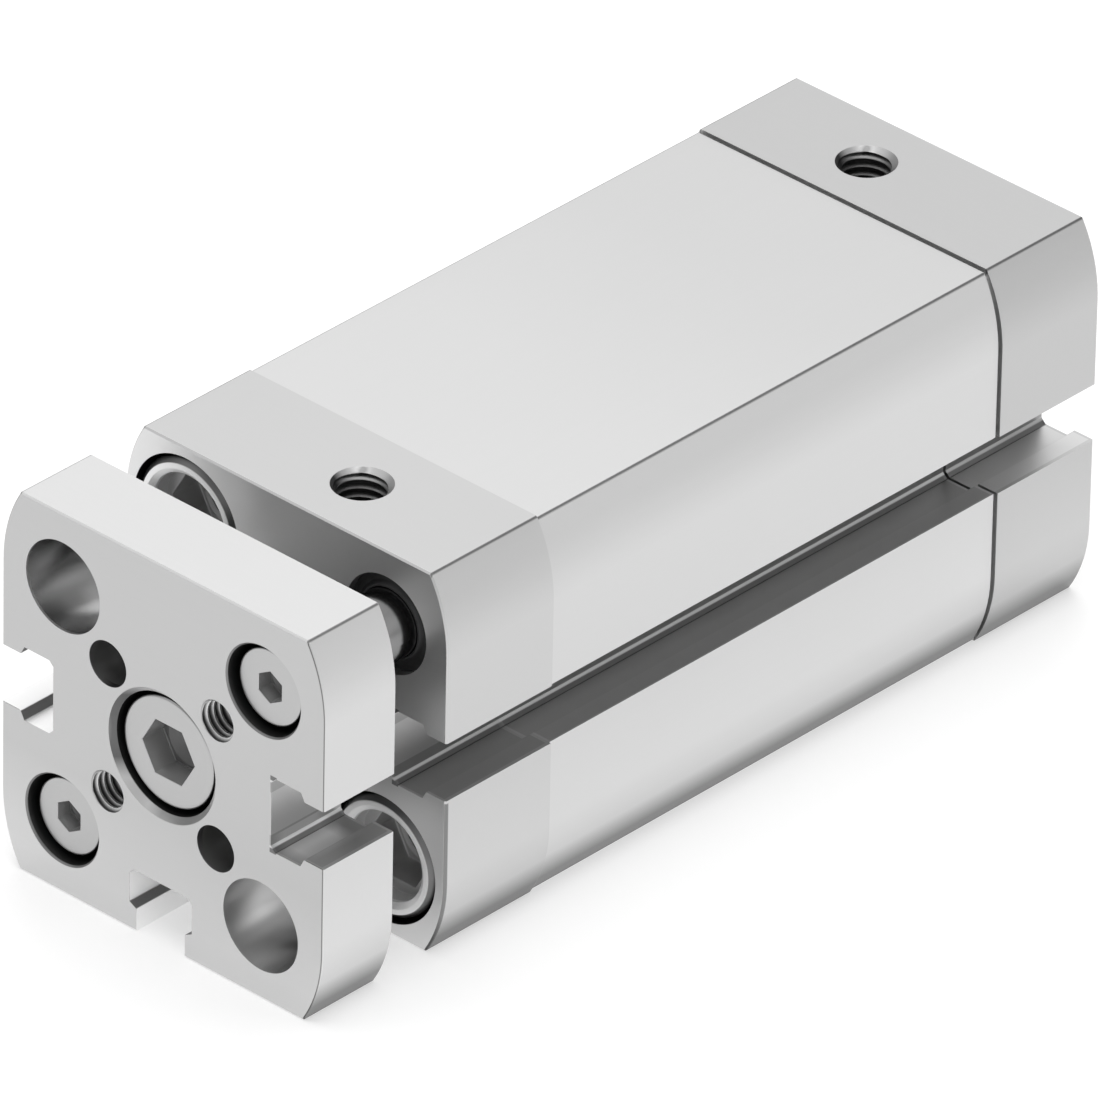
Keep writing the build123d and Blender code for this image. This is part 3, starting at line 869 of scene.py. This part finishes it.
def makeFloor():
    reach = floorLook["reach"]
    level = cadLow.z - floorLook["below"] * mm
    corners = [(x * reach, y * reach, level) for x, y in ((-1, -1), (1, -1), (1, 1), (-1, 1))]
    mesh = bpy.data.meshes.new("floor")
    mesh.from_pydata(corners, [], [(0, 1, 2, 3)])
    floor = bpy.data.objects.new("floor", mesh)
    bpy.context.scene.collection.objects.link(floor)
    finish = Finish("paleFloor")
    finish.set("Base Color", (*floorLook["tone"], 1))
    finish.set("Roughness", floorLook["roughness"])
    finish.set("Emission Color", (1, 1, 1, 1))
    finish.set("Emission Strength", floorLook["glow"])
    mesh.materials.append(finish.material)


makeFloor()

# Each softbox: where it stands in metres, how wide it is, and its power in watts
lightLook = {
    "overhead": {"at": (0.0, 0.03, 1.2), "size": 1.2, "power": 13.8},
    "backLeft": {"at": (-0.69, 0.78, 0.66), "size": 0.9, "power": 2.16},
    "backRight": {"at": (0.86, 0.70, 0.26), "size": 0.45, "power": 0.66},
    "frontLeft": {"at": (-0.75, -0.75, 0.75), "size": 0.9, "power": 1.2},
    "frontRight": {"at": (0.85, -0.6, 0.6), "size": 0.9, "power": 2.1},
}
skyStrength = 0.39


def makeSoftbox(name, look):
    lamp = bpy.data.lights.new(name, "AREA")
    lamp.shape = "SQUARE"
    lamp.size = look["size"]
    lamp.energy = look["power"]
    thing = bpy.data.objects.new(name, lamp)
    thing.location = look["at"]
    bpy.context.scene.collection.objects.link(thing)
    middleOfPart = (cadLow + cadHigh) / 2
    thing.rotation_mode = "QUATERNION"
    thing.rotation_quaternion = (thing.location - middleOfPart).to_track_quat("Z", "Y")


for name, look in lightLook.items():
    makeSoftbox(name, look)

world = bpy.data.worlds.new("studio")
world.use_nodes = True
sky = world.node_tree.nodes["Background"]
sky.inputs["Color"].default_value = (1, 1, 1, 1)
sky.inputs["Strength"].default_value = skyStrength
bpy.context.scene.world = world
bpy.context.scene.view_settings.view_transform = "Standard"

# The photograph's view: a very long lens from the front right and above, with a slight roll
cameraLook = {
    "azimuth": 42.589,
    "elevation": 31.948,
    "roll": 1.125,
    "right": 21.1786,  # millimetres that the lens axis passes to the right of the origin
    "up": 11.0745,  # and above it, both in the picture's own directions
    "distance": 1556.5,
    "scale": 12.55398,  # photograph pixels per millimetre at the origin
    "pixels": 1100,
    "clip": (0.1, 20.0),  # metres
}


def makeCamera():
    azimuth = math.radians(cameraLook["azimuth"])
    elevation = math.radians(cameraLook["elevation"])
    roll = math.radians(cameraLook["roll"])
    flat = math.cos(elevation)
    back = Vector((math.sin(azimuth) * flat, -math.cos(azimuth) * flat, math.sin(elevation)))
    right = Vector((0, 0, 1)).cross(back).normalized()
    up = back.cross(right)
    rolledRight = right * math.cos(roll) + up * math.sin(roll)
    rolledUp = up * math.cos(roll) - right * math.sin(roll)
    lens = bpy.data.cameras.new("camera")
    focal = cameraLook["scale"] * cameraLook["distance"]
    lens.lens = focal / cameraLook["pixels"] * lens.sensor_width
    lens.clip_start, lens.clip_end = cameraLook["clip"]
    camera = bpy.data.objects.new("camera", lens)
    place = rolledRight * cameraLook["right"] + rolledUp * cameraLook["up"] + back * cameraLook["distance"]
    turn = Matrix((rolledRight, rolledUp, back)).transposed()
    camera.matrix_world = Matrix.Translation(place * mm) @ turn.to_4x4()
    bpy.context.scene.collection.objects.link(camera)
    bpy.context.scene.camera = camera


makeCamera()
print("floor, light and camera set")
